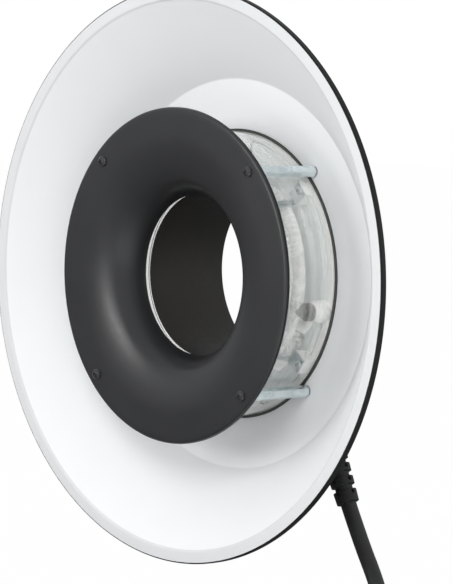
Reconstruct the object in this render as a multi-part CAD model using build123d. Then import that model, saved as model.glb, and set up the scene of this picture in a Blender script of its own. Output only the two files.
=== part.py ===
from build123d import *
import math
import os

os.makedirs("parts", exist_ok=True)

# Ring-flash head with a white dish reflector, on a tilting stand adapter.
# Millimetres. +Y runs along the optical axis from the front to the back, +Z is up, and the
# origin is on the optical axis in the plane of the dish floor's front face.
# Angles called phi are measured about the optical axis from +X towards +Z.

# ---------------------------------------------------------------- shared sizes
SHEET = 1.5                 # sheet metal thickness
GAP = 0.02                  # clearance between pieces that meet

PLATE_R = 125.0             # front plate, outer radius
PLATE_Y = -66.2             # its front face
PLATE_BACK_Y = PLATE_Y + SHEET
BOLT_R = 114.8              # radius of the four standoffs
BOLT_PHI = (45, 135, 225, 315)
DISH_HOLE_R = 109.3

FLOOR_Y = -1.0              # front of the lamp floor and the ceramic ring
DECK_Y0, DECK_Y1 = 1.5, 5.0             # front wall of the rear housing
FLOOR_BACK_Y = DECK_Y0 - 0.01
COVER_Y0, COVER_Y1 = 45.9, 47.9         # rear cover, front and back
COVER_FRONT_Y = COVER_Y0 + GAP
COVER_HEAD_Y = COVER_Y1 + GAP           # underside of what sits on the cover
COVER_CUT = (40, 60)                    # y range that passes right through the cover
BOSS_R = 87.0                           # cover screws
BOSS_PHI = (10, 50, 130, 170, 205, 250, 320)

FAN_Z, FAN_SIZE = 98.0, 40.0
FAN_Y0 = 33.5
FAN_Y1 = FAN_Y0 + 10.0
SWITCH_X = -82.0

TILT_Y, TILT_Z = 38.0, -118.0           # tilt axis, along X
CABLE_Y = 40.0
CABLE_R = 6.0
CABLE_BORE_R = CABLE_R + 0.05
GLAND_X, GLAND_Z = 56.1, -102.3         # where the cable leaves the housing
GLAND_DX, GLAND_DZ = 0.4447, -0.8957    # direction in which it leaves

# Local +Z runs out along the cable, local X is +Y.
GLAND_PLANE = Plane(origin=(GLAND_X, CABLE_Y, GLAND_Z), x_dir=(0, 1, 0),
                    z_dir=(GLAND_DX, 0, GLAND_DZ))


# ---------------------------------------------------------------- helpers
def face_of(points):
    return make_face(Polyline(*points, close=True))


def rev(points):
    """Solid of revolution about the optical axis from (radius, y) corners."""
    return revolve(face_of(points), Axis.Y, 360)


def rev_z(points):
    """Solid of revolution about the Z axis from (radius, z) corners."""
    return revolve(Plane.XZ * face_of(points), Axis.Z, 360)


def ring(r0, r1, y0, y1):
    return rev([(r0, y0), (r1, y0), (r1, y1), (r0, y1)])


def cyl_y(r, y0, y1, x=0.0, z=0.0):
    return Pos(x, (y0 + y1) / 2, z) * Rot(90, 0, 0) * Cylinder(r, abs(y1 - y0))


def cyl_x(r, x0, x1, y, z):
    return Pos((x0 + x1) / 2, y, z) * Rot(0, 90, 0) * Cylinder(r, abs(x1 - x0))


def cyl_z(r, z0, z1, x, y):
    return Pos(x, y, (z0 + z1) / 2) * Cylinder(r, abs(z1 - z0))


def box(x0, x1, y0, y1, z0, z1):
    return Pos((x0 + x1) / 2, (y0 + y1) / 2, (z0 + z1) / 2) * Box(
        abs(x1 - x0), abs(y1 - y0), abs(z1 - z0))


def rounded_box(radius, *limits):
    """Box with its four edges along Y rounded."""
    block = box(*limits)
    return fillet(block.edges().filter_by(Axis.Y), radius)


def hexagon(half_flats):
    return RegularPolygon(half_flats, 6, major_radius=False)


def polar(phi, r):
    """(x, z) of a point at angle phi and radius r."""
    a = math.radians(phi)
    return r * math.cos(a), r * math.sin(a)


def radial(phi):
    """Turns local +X onto the radius at angle phi."""
    return Rot(0, -phi, 0)


def start_plane(path):
    return Plane(origin=path @ 0, z_dir=path % 0)


def sweep_from_start(section, path):
    return sweep(start_plane(path) * section, path=path)


def pan_screw(x, z, shank_r, shank_y, head_y, slot_depth):
    """Cross-slot screw in the rear cover, its rounded head facing back."""
    screw = cyl_y(2.8, COVER_HEAD_Y, head_y, x, z)
    screw = fillet(screw.edges().filter_by(GeomType.CIRCLE).sort_by(Axis.Y)[-1:], 0.8)
    screw += cyl_y(shank_r, shank_y, COVER_Y1 + 0.5, x, z)
    screw -= Pos(x, head_y, z) * Box(3.4, slot_depth, 0.6)
    screw -= Pos(x, head_y, z) * Box(0.6, slot_depth, 3.4)
    return screw


def save(name, *shapes):
    """Writes all solids of the shapes to one STEP file."""
    solids = [solid for shape in shapes for solid in shape.solids()]
    piece = solids[0] if len(solids) == 1 else Compound(children=solids)
    export_step(piece, "parts/" + name + ".step")


# Places shared by several pieces: (x, z), or (x, y) for the bracket bolts.
BOLTS = [polar(phi, BOLT_R) for phi in BOLT_PHI]
BOSSES = [polar(phi, BOSS_R) for phi in BOSS_PHI]
FAN_HOLES = [(x, FAN_Z + z) for x in (-16, 16) for z in (-16, 16)]
BRACKET_BOLTS = [(x, y) for x in (-18.2, 18.2) for y in (22, 40)]
TERM_A = polar(-12.5, 95.9)
TERM_B = polar(171.0, 96.0)

# ---------------------------------------------------------------- front plate
FLARE_R = 110.0             # the flat face ends and the trumpet begins
PLATE_LIP = 3.6             # turned-back edge, front to back
PLATE_CORNER = 1.6          # rounding of the front corner
THROAT_R, THROAT_Y = 60.3, -37.3

# (radius, y) down the front face of the trumpet
TRUMPET = [
    (FLARE_R, PLATE_Y), (98.0, PLATE_Y + 0.25), (88.5, PLATE_Y + 1.25),
    (79.0, PLATE_Y + 3.5), (71.6, PLATE_Y + 7.1), (66.6, PLATE_Y + 12.2),
    (62.9, PLATE_Y + 18.5), (61.1, PLATE_Y + 23.6), (THROAT_R, THROAT_Y),
]


def unit_normal(start, end):
    dx, dy = end[0] - start[0], end[1] - start[1]
    length = math.hypot(dx, dy)
    return dy / length, -dx / length


def mitred_inner_points(points, offset):
    """Mitred parallel of an open line, without its two end points."""
    parallel = []
    for before, here, after in zip(points, points[1:], points[2:]):
        ax, ay = unit_normal(before, here)
        bx, by = unit_normal(here, after)
        scale = offset / (1 + ax * bx + ay * by)
        parallel.append((here[0] + (ax + bx) * scale, here[1] + (ay + by) * scale))
    return parallel


def front_plate():
    back = [(FLARE_R, PLATE_BACK_Y), *mitred_inner_points(TRUMPET, SHEET),
            (THROAT_R + SHEET, THROAT_Y)]
    front_edge = Spline(*TRUMPET, tangents=((-1, 0), (0, 1)))
    throat_edge = Line(TRUMPET[-1], back[-1])
    back_edge = Spline(*reversed(back), tangents=((0, -1), (1, 0)))
    rim = Polyline(back[0], (PLATE_R - SHEET, PLATE_BACK_Y),
                   (PLATE_R - SHEET, PLATE_Y + PLATE_LIP), (PLATE_R, PLATE_Y + PLATE_LIP),
                   (PLATE_R, PLATE_Y + PLATE_CORNER))
    corner = ThreePointArc((PLATE_R, PLATE_Y + PLATE_CORNER), (PLATE_R - 0.47, PLATE_Y + 0.47),
                           (PLATE_R - PLATE_CORNER, PLATE_Y))
    flat = Line((PLATE_R - PLATE_CORNER, PLATE_Y), TRUMPET[0])
    plate = revolve(make_face(front_edge + throat_edge + back_edge + rim + corner + flat),
                    Axis.Y, 360)
    for x, z in BOLTS:
        plate -= cyl_y(2.2, PLATE_Y - 1, PLATE_Y + 3, x, z)
    return plate


def plate_screw(phi):
    x, z = polar(phi, BOLT_R)
    head = revolve(make_face(
        Polyline((0, 0), (3.9, 0), (3.9, -1.2))
        + ThreePointArc((3.9, -1.2), (2.6, -2.3), (0, -2.7))
        + Line((0, -2.7), (0, 0))), Axis.Y, 360)
    screw = Pos(x, PLATE_Y - GAP, z) * head
    screw = screw + cyl_y(1.98, PLATE_Y - 0.5, PLATE_Y + 11, x, z)
    slot = box(-2.1, 2.1, PLATE_Y - 4, PLATE_Y - 1.3, -0.45, 0.45)
    for turn in (20, 110):
        screw -= Pos(x, 0, z) * Rot(0, turn + phi, 0) * slot
    return screw


save("front_plate", front_plate())
save("plate_screws", *[plate_screw(phi) for phi in BOLT_PHI])

# ---------------------------------------------------------------- standoffs
HEX_AF = 8.0                # across flats, posts and nuts
WASHER_T = 1.0


def hex_bar(length):
    """Hexagonal bar from the origin towards +Y."""
    return extrude(Plane.XZ * hexagon(HEX_AF / 2), -length)


def standoff(x, z):
    y0 = PLATE_BACK_Y
    post = Pos(x, y0, z) * hex_bar(-y0)
    post &= cyl_y(20, y0, 0.0, x, z)
    # Turned envelope that breaks the corners at both ends of the hexagon.
    envelope = rev([(0, y0), (4.15, y0), (4.7, y0 + 0.55), (4.7, -0.9), (3.9, 0.0), (0, 0.0)])
    post &= Pos(x, 0, z) * envelope
    post += cyl_y(2.45, -0.5, 11.5, x, z)
    post -= cyl_y(2.02, y0 - 1, y0 + 14, x, z)
    return post


def standoff_nut(x, z):
    return Pos(x, DECK_Y1 + WASHER_T + GAP, z) * hex_bar(4) - cyl_y(2.5, 0, 20, x, z)


def standoff_washer(x, z):
    return cyl_y(4.4, DECK_Y1 + 0.01, DECK_Y1 + WASHER_T, x, z) - cyl_y(2.7, 0, 20, x, z)


save("standoffs", *[standoff(x, z) for x, z in BOLTS])
save("standoff_nuts", *[standoff_nut(x, z) for x, z in BOLTS])
save("standoff_washers", *[standoff_washer(x, z) for x, z in BOLTS])

# ---------------------------------------------------------------- glass and seals
OUTER_R1 = 107.8            # outer glass, outside and inside radius
OUTER_R0 = OUTER_R1 - 2.6
INNER_R0 = 65.8             # inner glass, inside and outside radius
INNER_R1 = INNER_R0 + 2.2
OUTER_FRONT_Y, INNER_FRONT_Y = -58.0, -49.0
GLASS_BACK_Y = -0.5
SEAL_GAP = 0.05
SEAL_Y = GLASS_BACK_Y + SEAL_GAP        # where the rear seals bear on the glass


def glass(r0, r1, front_y, edge_radius):
    tube = ring(r0, r1, front_y, GLASS_BACK_Y)
    return fillet(tube.edges().filter_by(GeomType.CIRCLE), edge_radius)


save("outer_glass", glass(OUTER_R0, OUTER_R1, OUTER_FRONT_Y, 0.9))
save("inner_glass", glass(INNER_R0, INNER_R1, INNER_FRONT_Y, 0.8))
save("front_gasket", rev([
    (OUTER_R0 - 1.0, PLATE_BACK_Y + SEAL_GAP), (OUTER_R1 + 1.4, PLATE_BACK_Y + SEAL_GAP),
    (OUTER_R1 + 1.4, OUTER_FRONT_Y + 2), (OUTER_R1 + SEAL_GAP, OUTER_FRONT_Y + 2),
    (OUTER_R1 + SEAL_GAP, OUTER_FRONT_Y - SEAL_GAP),
    (OUTER_R0 - 1.0, OUTER_FRONT_Y - SEAL_GAP)]))
save("rear_gasket", rev([
    (OUTER_R0 - 0.2, SEAL_Y), (OUTER_R1 + 0.07, SEAL_Y), (OUTER_R1 + 0.07, -0.75),
    (DISH_HOLE_R - 0.3, -0.75), (DISH_HOLE_R - 0.3, DECK_Y0), (OUTER_R0 - 0.2, DECK_Y0)]))
save("inner_gasket", rev([
    (INNER_R0 - 0.1, SEAL_Y), (INNER_R1 + SEAL_GAP, SEAL_Y), (INNER_R1 + SEAL_GAP, -3.0),
    (INNER_R1 + 0.95, -3.0), (INNER_R1 + 0.95, DECK_Y0), (INNER_R0 - 0.1, DECK_Y0)]))
save("throat_seal", ring(63.5, INNER_R0 - SEAL_GAP, -43.8, -40.8))

# ---------------------------------------------------------------- dish reflector
FLAT_R = 123.0              # flat floor ends
CREASE_R, CREASE_Y = 147.25, -3.0
CONE_R = 205.2              # cone meets the rim flange
RIM_R = 214.5               # outermost radius
RIM_Y = -60.65              # front of the rim flange
LIP_Y = -55.9               # back edge of the rolled lip
RIM_CHAMFER = 1.0
CREASE_BACK = (CREASE_R + 0.71, CREASE_Y + SHEET)
CONE_BACK = (CONE_R + 0.62, RIM_Y + SHEET)


def reflector_dish():
    section = face_of([
        (DISH_HOLE_R, 0.0), (FLAT_R, 0.0), (CREASE_R, CREASE_Y), (CONE_R, RIM_Y),
        (RIM_R - RIM_CHAMFER, RIM_Y), (RIM_R, RIM_Y + RIM_CHAMFER), (RIM_R, LIP_Y),
        (RIM_R - SHEET, LIP_Y), (RIM_R - SHEET, RIM_Y + SHEET),
        CONE_BACK, CREASE_BACK, (FLAT_R + 0.1, SHEET), (DISH_HOLE_R, SHEET)])
    # Corner of the section and its rounding radius, in the order applied.
    roundings = (
        ((CREASE_R, CREASE_Y), 4.0), (CREASE_BACK, 3.0),
        ((CONE_R, RIM_Y), 2.5), (CONE_BACK, 1.0), ((FLAT_R, 0.0), 30.0),
        ((RIM_R, RIM_Y + RIM_CHAMFER), 0.6), ((RIM_R - RIM_CHAMFER, RIM_Y), 0.6))
    for (r, y), radius in roundings:
        corner = min(section.vertices(), key=lambda v: math.hypot(v.X - r, v.Y - y))
        section = fillet([corner], radius)
    dish = revolve(section, Axis.Y, 360)
    for x, z in BOLTS:
        dish -= cyl_y(2.7, -2, 4, x, z)
    return dish


save("reflector_dish", reflector_dish())

# ---------------------------------------------------------------- lens tunnel
LINER_FRONT_R, LINER_FRONT_Y = 61.2, -32.3
LINER_REAR_R, LINER_REAR_Y = 69.0, COVER_Y1
LINER_FLANGE_R, LINER_FLANGE_Y = 76.0, LINER_REAR_Y + 1.4
LINER_T = 1.0

save("tunnel_liner", rev([
    (LINER_FRONT_R, LINER_FRONT_Y), (LINER_REAR_R, LINER_REAR_Y),
    (LINER_REAR_R + 0.3, LINER_FLANGE_Y), (LINER_FLANGE_R, LINER_FLANGE_Y),
    (LINER_FLANGE_R, LINER_REAR_Y + GAP), (LINER_REAR_R + LINER_T, LINER_REAR_Y + GAP),
    (LINER_FRONT_R + LINER_T, LINER_FRONT_Y)]))

# ---------------------------------------------------------------- lamp chamber floor
lamp_floor = rev([(70.4, 0.3), (79.3, 0.3), (79.3, FLOOR_Y), (96.4, FLOOR_Y),
                  (96.4, FLOOR_BACK_Y), (70.4, FLOOR_BACK_Y)])
seat_ring = ring(97.3, 103.5, FLOOR_Y, FLOOR_BACK_Y)
for x, z in (TERM_A, TERM_B):
    lamp_floor -= cyl_y(2.6, -3, 3, x, z)
    seat_ring -= cyl_y(2.6, -3, 3, x, z)
save("lamp_floor", lamp_floor)
save("ceramic_seat_ring", seat_ring)

# ---------------------------------------------------------------- flash tube coil
COIL_R, TUBE_R, TUBE_WALL = 84.5, 4.5, 1.2
COIL_PITCH = 10.0
COIL_START_PHI, COIL_START_Y = -30.0, -6.5


def helix(radius, y0, phi0, turn):
    """Coil advancing towards the front as phi falls, with a point every 30 degrees."""
    points = []
    steps = int(turn / 30)
    for i in range(steps + 1):
        t = turn * i / steps
        x, z = polar(phi0 - t, radius)
        points.append((x, y0 - COIL_PITCH * t / 360.0, z))
    return Spline(*points)


coil = helix(COIL_R, COIL_START_Y, COIL_START_PHI, 870.0)
trigger_path = helix(COIL_R - 4.4, COIL_START_Y - 4.0, COIL_START_PHI - 20, 690)
# Rear and front end of the tube: (point, direction out of the tube).
COIL_ENDS = ((coil @ 0, -(coil % 0)), (coil @ 1, coil % 1))


def end_cap(point, outward):
    plane = Plane(origin=point, z_dir=outward)
    cap = plane * Pos(0, 0, 1.55) * Cylinder(TUBE_R - 0.1, 3.0)
    tip = plane * Pos(0, 0, 4.5) * Cylinder(1.6, 3.0)
    return cap + tip


save("flash_tube", sweep_from_start(Circle(TUBE_R) - Circle(TUBE_R - TUBE_WALL), coil))
save("tube_end_caps", *[end_cap(point, outward) for point, outward in COIL_ENDS])
save("trigger_wire", sweep_from_start(Circle(0.4), trigger_path))

# ---------------------------------------------------------------- tube terminals
STUD_BORE_R = 2.1
STUD_R = 2.0
STUD_BACK_Y = 10.0
INSULATOR_Y = FLOOR_Y - GAP


def insulator(place, bore_front_y, points):
    x, z = place
    return Pos(x, 0, z) * rev(points) - cyl_y(STUD_BORE_R, bore_front_y, 8, x, z)


def knurled_nut(place, r, y0, y1, grooves):
    x, z = place
    nut = cyl_y(r, y0, y1, x, z)
    for i in range(grooves):
        a = 2 * math.pi * i / grooves
        nut -= Pos(x + (r + 0.15) * math.cos(a), (y0 + y1) / 2,
                   z + (r + 0.15) * math.sin(a)) * Rot(90, 0, 0) * Cylinder(
                       0.55, abs(y1 - y0) + 1)
    return nut - cyl_y(STUD_BORE_R, -40, 8, x, z)


def lead_sleeve(coil_end, standoff_length, place, y, reach, r0, r1):
    """Tapered sleeve from beyond a tube end to a distance short of a terminal point."""
    point, outward = coil_end
    start = point + outward * standoff_length
    terminal = Vector(place[0], y, place[1])
    end = terminal + (start - terminal).normalized() * reach
    length = (end - start).length
    return Plane(origin=start, z_dir=end - start) * (
        Pos(0, 0, length / 2) * Cone(r0, r1, length))


save("terminal_insulators",
     insulator(TERM_A, -16, [(0, INSULATOR_Y), (8.5, INSULATOR_Y), (8.5, -8.2), (7.4, -11.4),
                             (5.4, -13.2), (0, -13.2)]),
     insulator(TERM_B, -40, [(0, INSULATOR_Y), (6.4, INSULATOR_Y), (6.4, -3.0), (5.4, -4.0),
                             (5.4, -26.0), (0, -26.0)]))
save("terminal_nuts", knurled_nut(TERM_A, 6.6, -17.4, -13.3, 24),
     knurled_nut(TERM_B, 5.0, -30.2, -26.1, 20))
save("terminal_studs",
     cyl_y(STUD_R, -17.8, STUD_BACK_Y, *TERM_A) + cyl_y(2.9, -23.2, -17.6, *TERM_A),
     cyl_y(STUD_R, -34.0, STUD_BACK_Y, *TERM_B))
save("lead_sleeves", lead_sleeve(COIL_ENDS[0], 8.8, TERM_A, -5.6, 8.9, 4.3, 3.1),
     lead_sleeve(COIL_ENDS[1], 8.4, TERM_B, -32.95, 2.6, 2.4, 1.6))

# ---------------------------------------------------------------- tube brackets
BRACKET_TURNS = [radial(phi) for phi in (40.6, 139.4, -143.4, -36.6)]
BRACKET_SCREW_R = 100.6
BLOCK_Y = -10.5             # front of the block
FOOT_Y = -11.5              # front of the bracket foot on the block
ARM_R = 91.55               # outer side of the bracket arm


def bracket_block(turn):
    block = turn * box(91.6, 104.0, BLOCK_Y, INSULATOR_Y, -6.0, 6.0)
    return block - turn * cyl_y(1.3, -12, 0, BRACKET_SCREW_R, 0)


def tube_bracket(turn):
    foot = box(91.2, 103.9, FOOT_Y, BLOCK_Y - GAP, -5.6, 5.6)
    arm = box(90.6, ARM_R, -38.0, BLOCK_Y - GAP, -5.6, -0.5)
    tab = box(89.4, ARM_R, -38.9, -37.0, -5.6, -0.5)
    bracket = foot + arm + tab
    bracket -= cyl_y(1.7, -14, 0, BRACKET_SCREW_R, 0)
    return turn * bracket


def bracket_screw(turn):
    r = BRACKET_SCREW_R
    head = rev([(0, FOOT_Y - GAP), (3.1, FOOT_Y - GAP), (2.8, -12.9), (1.7, -13.7), (0, -13.9)])
    screw = Pos(r, 0, 0) * head + cyl_y(1.25, -12.0, -1.4, r, 0)
    for half_x, half_z in ((1.9, 0.35), (0.35, 1.9)):
        screw -= box(r - half_x, r + half_x, -15, -12.8, -half_z, half_z)
    return turn * screw


save("bracket_blocks", *[bracket_block(turn) for turn in BRACKET_TURNS])
save("tube_brackets", *[tube_bracket(turn) for turn in BRACKET_TURNS])
save("bracket_screws", *[bracket_screw(turn) for turn in BRACKET_TURNS])

# ---------------------------------------------------------------- modelling lamps
LAMP_R = 4.9
LAMP_TIP_Y = -30.0          # centre of the domed end
lamp = rev([(0, -9.1), (4.4, -9.1), (LAMP_R, -10.5), (LAMP_R, LAMP_TIP_Y), (0, LAMP_TIP_Y)])
lamp += Pos(0, LAMP_TIP_Y, 0) * Sphere(LAMP_R)
lamp_socket = rev([(0, 0.28), (3.3, 0.28), (3.3, -1.0), (4.9, -1.0), (4.9, -8.0), (4.2, -9.0),
                   (0, -9.0)])
LAMPS = [polar(phi, 74.0) for phi in (60, 120, 240, 300)]
save("modelling_lamps", *[Pos(x, 0, z) * lamp for x, z in LAMPS])
save("lamp_sockets", *[Pos(x, 0, z) * lamp_socket for x, z in LAMPS])

# ---------------------------------------------------------------- rear housing
HOUSING_R = 126.0
HOUSING_BORE_R = 66.9
SIDE_SLOT_PHI = (*range(4, 56, 8), *range(126, 178, 8), *range(192, 240, 8))


def rear_housing():
    shell = rev([(HOUSING_BORE_R, DECK_Y0), (HOUSING_R, DECK_Y0), (HOUSING_R, 11.0),
                 (95.5, 44.0), (94.0, COVER_Y0), (HOUSING_BORE_R, COVER_Y0)])
    # Fan lobe at the top, saddle for the tilt bracket below, chin for the cable.
    lobe = rounded_box(9, -26, 26, 8.0, COVER_Y0, 60, 124)
    saddle = box(-29, 29, 10.5, 44, -125, -97.5) & shell
    chin = GLAND_PLANE * Pos(0, 0, -14) * Box(22, 24, 28) - ring(1, 95.3, COVER_Y0 - 0.01, 60)
    shell = shell + lobe + chin
    cavity = rev([(60, DECK_Y1), (121.8, DECK_Y1), (121.8, 10.5), (91.6, 43.0), (91.6, 60),
                  (60, 60)])
    shell = shell - cavity - rounded_box(6, -23, 23, 12.0, 60, 60, 121)
    shell = shell + saddle - box(-26, 26, 13.5, 60, -130, -101)
    shell -= ring(1, HOUSING_BORE_R, 0, 60)
    shell -= GLAND_PLANE * Pos(0, 0, -18) * Cylinder(7.5, 40)
    for x, z in BOLTS:
        shell -= cyl_y(2.7, 0, 8, x, z)
    for x, z in (TERM_A, TERM_B):
        shell -= cyl_y(2.6, 0, 8, x, z)
    # Cooling slots in the sloping wall.
    for phi in SIDE_SLOT_PHI:
        shell -= radial(phi) * box(96, 124, 17, 35, -1.4, 1.4)
    # Bosses for the cover screws.
    for x, z in BOSSES:
        shell += cyl_y(3.6, DECK_Y0 + 1, COVER_Y0, x, z)
    for x, z in BOSSES:
        shell -= cyl_y(1.3, COVER_Y0 - 12, COVER_Y0 + 1, x, z)
    for x, y in BRACKET_BOLTS:
        shell -= cyl_z(2.1, -102, -86, x, y)
    return shell


save("rear_housing", rear_housing())

# ---------------------------------------------------------------- rear cover
COVER_BORE_R = 70.6
EXHAUST_PHI = (218, 226, 234, 262, 270, 278, 286, 294, 342, 350)


def grille_slot(r):
    return cyl_y(r, *COVER_CUT, 0, FAN_Z) - cyl_y(r - 2.6, 39, 61, 0, FAN_Z)


def fan_grille():
    """Concentric slots, less a diagonal cross of ribs left standing."""
    grille = grille_slot(6.0)
    for r in (10.2, 14.4, 18.6):
        grille += grille_slot(r)
    for turn in (45, -45):
        grille -= Pos(0, 50, FAN_Z) * Rot(0, turn, 0) * Box(60, 30, 2.4)
    return grille


def rear_cover():
    cover = ring(COVER_BORE_R, 95.0, COVER_FRONT_Y, COVER_Y1)
    fan_tab = rounded_box(8.5, -25.5, 25.5, COVER_FRONT_Y, COVER_Y1, 60, 123.5)
    cover = cover + (fan_tab - ring(0.5, COVER_BORE_R, *COVER_CUT))
    for x, z in BOSSES:
        cover -= cyl_y(1.7, *COVER_CUT, x, z)
    cover -= fan_grille()
    for x, z in FAN_HOLES:
        cover -= cyl_y(1.7, *COVER_CUT, x, z)
    for phi in EXHAUST_PHI:
        cover -= radial(phi) * box(79.0, 90.0, *COVER_CUT, -1.2, 1.2)
    cover -= box(SWITCH_X - 4, SWITCH_X + 4, *COVER_CUT, -7.2, 7.2)
    return cover


save("rear_cover", rear_cover())
save("cover_screws", *[
    pan_screw(x, z, shank_r=1.25, shank_y=COVER_Y0 - 8, head_y=COVER_Y1 + 1.9, slot_depth=1.6)
    for x, z in BOSSES])

# ---------------------------------------------------------------- fan


def fan_frame():
    half = FAN_SIZE / 2
    frame = rounded_box(3, -half, half, FAN_Y0, FAN_Y1, FAN_Z - half, FAN_Z + half)
    frame -= cyl_y(18.6, FAN_Y0 - 1, FAN_Y1 + 1, 0, FAN_Z)
    frame += cyl_y(8.5, FAN_Y0, FAN_Y0 + 2.2, 0, FAN_Z)
    for turn in (45, 135, 225, 315):
        frame += Pos(0, 0, FAN_Z) * Rot(0, turn, 0) * box(
            7, 19.5, FAN_Y0, FAN_Y0 + 2.0, -1.2, 1.2)
    frame += cyl_y(1.45, FAN_Y0 + 1, FAN_Y1 - 1.5, 0, FAN_Z)
    for x, z in FAN_HOLES:
        frame -= cyl_y(1.8, FAN_Y0 - 1, FAN_Y1 + 1, x, z)
    return frame


def fan_rotor(blades=7):
    rotor = cyl_y(9.0, FAN_Y0 + 2.8, FAN_Y1 - 0.6) - cyl_y(7.6, FAN_Y0, FAN_Y1 - 1.9)
    rotor = rotor + cyl_y(3.0, FAN_Y0 + 3.2, FAN_Y1 - 1.0) - cyl_y(1.5, FAN_Y0, FAN_Y1 - 1.3)
    blade = Pos(13.2, (FAN_Y0 + FAN_Y1) / 2 + 0.9, 0) * Rot(38, 0, 0) * Box(9.2, 8.0, 0.9)
    for i in range(blades):
        rotor += Rot(0, i * 360 / blades, 0) * blade
    rotor &= cyl_y(17.8, FAN_Y0 + 2.7, FAN_Y1 - 0.5)
    return Pos(0, 0, FAN_Z) * rotor


save("fan_frame", fan_frame())
save("fan_rotor", fan_rotor())
save("fan_screws", *[
    pan_screw(x, z, shank_r=1.4, shank_y=FAN_Y0 + 0.5, head_y=COVER_Y1 + 1.8, slot_depth=1.5)
    for x, z in FAN_HOLES])

# ---------------------------------------------------------------- modelling-lamp switch
ROCKER_W = 5.4

bezel = rounded_box(1.5, SWITCH_X - 5.6, SWITCH_X + 5.6, COVER_HEAD_Y, COVER_Y1 + 1.6, -9.2, 9.2)
bezel += box(SWITCH_X - 3.8, SWITCH_X + 3.8, COVER_Y0 - 9, COVER_Y1 + 0.2, -7.0, 7.0)
bezel -= box(SWITCH_X - 3, SWITCH_X + 3, COVER_Y0 - 7.5, COVER_Y1 + 3, -6.2, 6.2)
save("switch_bezel", bezel)

rocker_outline = Polygon(
    (COVER_Y0 - 2.0, -4.6), (COVER_Y1 + 1.2, -5.6), (COVER_Y1 + 3.4, -5.6),
    (COVER_Y1 + 2.2, 0.0), (COVER_Y1 + 3.4, 5.6), (COVER_Y1 + 1.2, 5.6),
    (COVER_Y0 - 2.0, 4.6), align=None)
rocker = extrude(Plane.YZ * rocker_outline, ROCKER_W)
save("switch_rocker", Pos(SWITCH_X - ROCKER_W / 2, 0, 0) * rocker)

# ---------------------------------------------------------------- electrics in the housing
transformer = radial(228) * box(73.5, 90.0, 6.0, 30.0, -15, 15)
save("trigger_transformer", fillet(transformer.edges().filter_by(Axis.Y), 2))

terminal_block = radial(-14) * box(74, 90, 12.0, 24.0, -13, 13)
for offset in (-9, -3, 3, 9):
    terminal_block -= radial(-14) * cyl_y(1.6, 18, 26, 82, offset)
save("terminal_block", terminal_block)

save("thermal_cutout",
     radial(28) * (box(75, 82, 5.3, 10.0, -8, 8) + cyl_y(6.0, 5.3, 13.0, 86.5, 0)))

LOOM_R, LOOM_Y = 103.5, 14.0
loom_points = [polar(phi, LOOM_R) for phi in range(-46, 61, 12)]
loom_path = Spline(*[(x, LOOM_Y, z) for x, z in loom_points])
save("wiring_loom", sweep_from_start(Circle(3.2), loom_path))

# ---------------------------------------------------------------- cable gland and sleeve
gland = GLAND_PLANE * Pos(0, 0, GAP) * extrude(hexagon(10.5), 5)
gland += GLAND_PLANE * Pos(0, 0, -6) * Cylinder(7.3, 14)
gland -= GLAND_PLANE * Cylinder(CABLE_BORE_R, 80)
save("cable_gland", gland)

SLEEVE_Z0, SLEEVE_Z1 = 5.05, 72.4       # along the gland direction
# (start, end) of the seven raised bands
BANDS = [(SLEEVE_Z0, 8.6), (12.2, 18.6), (22.3, 28.7), (32.4, 38.8), (42.5, 48.9),
         (52.6, 59.0), (62.7, SLEEVE_Z1)]


def sleeve_r(z):
    return 11.2 - 0.0401 * (z - SLEEVE_Z0)


def sleeve_cone(z0, z1, inset0=0.0, inset1=0.0):
    """Length of the sleeve's outer taper, set in by an amount at each end."""
    return GLAND_PLANE * Pos(0, 0, (z0 + z1) / 2) * Cone(
        sleeve_r(z0) - inset0, sleeve_r(z1) - inset1, z1 - z0)


def strain_relief():
    """Tapering core, seven bands joined by two opposite ribs, and windows in the bands."""
    middle = GLAND_PLANE * Pos(0, 0, (SLEEVE_Z0 + SLEEVE_Z1) / 2)
    sleeve = sleeve_cone(SLEEVE_Z0, SLEEVE_Z1, 2.4, 1.9)
    for z0, z1 in BANDS:
        sleeve += sleeve_cone(z0, z1)
    ribs = sleeve_cone(SLEEVE_Z0, SLEEVE_Z1, 0.5, 0.5)
    ribs &= middle * Rot(0, 0, 135) * Box(40, 10.0, SLEEVE_Z1 - SLEEVE_Z0)
    sleeve += ribs
    # Four windows in every band but the first.
    for z0, _ in BANDS[1:]:
        z = z0 + 2.5
        for turn in (0, 90, 180, 270):
            sleeve -= GLAND_PLANE * Pos(0, 0, z) * Rot(0, 0, turn) * Pos(
                sleeve_r(z), 0, 0) * Box(3.4, 3.0, 2.6)
    return sleeve - GLAND_PLANE * Cylinder(CABLE_BORE_R, 300)


save("strain_relief", strain_relief())

# ---------------------------------------------------------------- cable
PLUG_X, PLUG_TOP_Z = 152.0, -345.0

# (x, z) of the hanging cable between the sleeve and the plug
CABLE_BEND = [(100.08, -188.63), (106.9, -200.4), (120.3, -222.9), (134.5, -254.0),
              (145.0, -285.0), (150.4, -309.0)]


def along_gland(distance):
    return (GLAND_X + GLAND_DX * distance, CABLE_Y, GLAND_Z + GLAND_DZ * distance)


def lamp_cable():
    direction = (GLAND_DX, 0, GLAND_DZ)
    start, bend_start = along_gland(-12), along_gland(73.0)
    bend_end = (PLUG_X, CABLE_Y, PLUG_TOP_Z + 18)
    lead = Line(start, bend_start)
    bend = Spline(bend_start, *[(x, CABLE_Y, z) for x, z in CABLE_BEND], bend_end,
                  tangents=(direction, (0, 0, -1)))
    drop = Line(bend_end, (PLUG_X, CABLE_Y, PLUG_TOP_Z - 30))
    path = Wire([lead.edge(), bend.edge(), drop.edge()])
    return sweep(Plane(origin=start, z_dir=direction) * Circle(CABLE_R), path=path)


save("lamp_cable", lamp_cable())

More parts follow.
